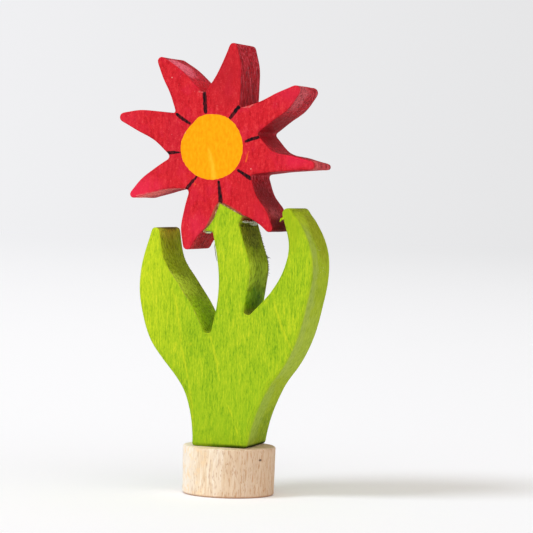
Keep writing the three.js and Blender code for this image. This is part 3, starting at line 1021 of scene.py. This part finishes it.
def backdrop_color(tree, heading):
    """The backdrop's pale grey in a heading: a little darker to the right."""
    dot = tree.nodes.new("ShaderNodeVectorMath")
    dot.operation = "DOT_PRODUCT"
    tree.links.new(heading, dot.inputs[0])
    dot.inputs[1].default_value = RIGHT
    share = tree.nodes.new("ShaderNodeMapRange")
    share.inputs["From Min"].default_value = -0.1
    share.inputs["From Max"].default_value = 0.12
    tree.links.new(dot.outputs["Value"], share.inputs["Value"])
    mix = tree.nodes.new("ShaderNodeMix")
    mix.data_type = "RGBA"
    tree.links.new(share.outputs[0], mix.inputs[0])
    mix.inputs[6].default_value = linear((240, 240, 242))
    mix.inputs[7].default_value = linear((229, 229, 230))
    return mix.outputs[2]


def backdrop_rays(tree):
    """1 for the rays that show the backdrop: the camera's, and those that gloss or glass sends on."""
    path = tree.nodes.new("ShaderNodeLightPath")
    share = path.outputs["Is Camera Ray"]
    for kind in ("Is Glossy Ray", "Is Transmission Ray"):
        either = tree.nodes.new("ShaderNodeMath")
        either.operation = "MAXIMUM"
        tree.links.new(share, either.inputs[0])
        tree.links.new(path.outputs[kind], either.inputs[1])
        share = either.outputs[0]
    return share


def studio_floor():
    """A round pale floor that fades into the backdrop's colour far away."""
    reach = 20000
    floor = turned("floor", [(0, -4), (reach, -4), (reach, 0), (600, 0), (0, 0)], 96)
    s = Shader("floor_paper")
    far = s.step(s.vector("LENGTH", s.place), -300, 2600)
    across = s.vector("DOT_PRODUCT", s.place, tuple(RIGHT))
    paper = s.mix(s.step(across, -90, 110), (255, 255, 255), (251, 251, 251))
    s.finish(paper, 0.85, Specular_IOR_Level=0.1)
    glow = s.add("ShaderNodeEmission", Strength=1.0)
    heading = s.vector("NORMALIZE", s.vector("SUBTRACT", s.place, tuple(EYE)))
    s.put(glow.inputs[0], backdrop_color(s.tree, heading))
    both = s.add("ShaderNodeMixShader")
    s.put(both.inputs[0], s.all_of(far, backdrop_rays(s.tree)))
    s.put(both.inputs[1], s.surface.outputs[0])
    s.put(both.inputs[2], glow.outputs[0])
    s.put(s.tree.nodes["Material Output"].inputs[0], both.outputs[0])
    floor.data.materials.append(s.material)


def studio_world(strength, toward, extra):
    """A pale surround: strength lights the object from all round, with extra light around one direction.

    The camera and mirroring surfaces see the backdrop's colour instead.
    """
    world = bpy.data.worlds.new("studio")
    world.use_nodes = True
    bpy.context.scene.world = world
    tree = world.node_tree
    light = tree.nodes["Background"]
    light.inputs["Color"].default_value = SURROUND_COLOR
    heading = tree.nodes.new("ShaderNodeTexCoord").outputs["Generated"]
    dot = tree.nodes.new("ShaderNodeVectorMath")
    dot.operation = "DOT_PRODUCT"
    tree.links.new(heading, dot.inputs[0])
    dot.inputs[1].default_value = Vector(toward).normalized()
    fill = tree.nodes.new("ShaderNodeMapRange")
    fill.interpolation_type = "SMOOTHSTEP"
    fill.inputs["From Min"].default_value = 0.3
    fill.inputs["From Max"].default_value = 1.0
    fill.inputs["To Min"].default_value = strength
    fill.inputs["To Max"].default_value = strength + extra
    tree.links.new(dot.outputs["Value"], fill.inputs["Value"])
    tree.links.new(fill.outputs[0], light.inputs["Strength"])
    seen = tree.nodes.new("ShaderNodeBackground")
    tree.links.new(backdrop_color(tree, heading), seen.inputs["Color"])
    both = tree.nodes.new("ShaderNodeMixShader")
    tree.links.new(backdrop_rays(tree), both.inputs[0])
    tree.links.new(light.outputs[0], both.inputs[1])
    tree.links.new(seen.outputs[0], both.inputs[2])
    tree.links.new(both.outputs[0], tree.nodes["World Output"].inputs[0])


def key_light(direction, strength, softness):
    """A soft distant light from a direction. softness is its width in the sky, in degrees."""
    data = bpy.data.lights.new("key", "SUN")
    data.energy = strength
    data.color = LAMP_COLOR
    data.angle = math.radians(softness)
    lamp = bpy.data.objects.new("key", data)
    bpy.context.scene.collection.objects.link(lamp)
    lamp.rotation_mode = "QUATERNION"
    lamp.rotation_quaternion = Vector(direction).to_track_quat("Z", "Y")


def camera():
    """The camera at the photograph's angle: a long lens, a little right of the face and barely above it."""
    focal, width, sensor = 2645.07, 533, 36.0
    up = RIGHT.cross(AHEAD)
    image_right = RIGHT * math.cos(ROLL) + up * math.sin(ROLL)
    image_up = up * math.cos(ROLL) - RIGHT * math.sin(ROLL)
    data = bpy.data.cameras.new("camera")
    data.sensor_width = sensor
    data.lens = focal / width * sensor
    data.clip_start = 0.01
    data.clip_end = 20
    eye = bpy.data.objects.new("camera", data)
    bpy.context.scene.collection.objects.link(eye)
    turn = Matrix((image_right, image_up, -AHEAD)).transposed()
    eye.matrix_world = Matrix.Translation(EYE * MM) @ turn.to_4x4()
    bpy.context.scene.camera = eye


studio_floor()
studio_world(0.45, (0.55, -0.62, 0.55), 0.8)
key_light((-0.462, -0.435, 0.774), 1.43, 19)
camera()
bpy.context.scene.view_settings.view_transform = "Standard"
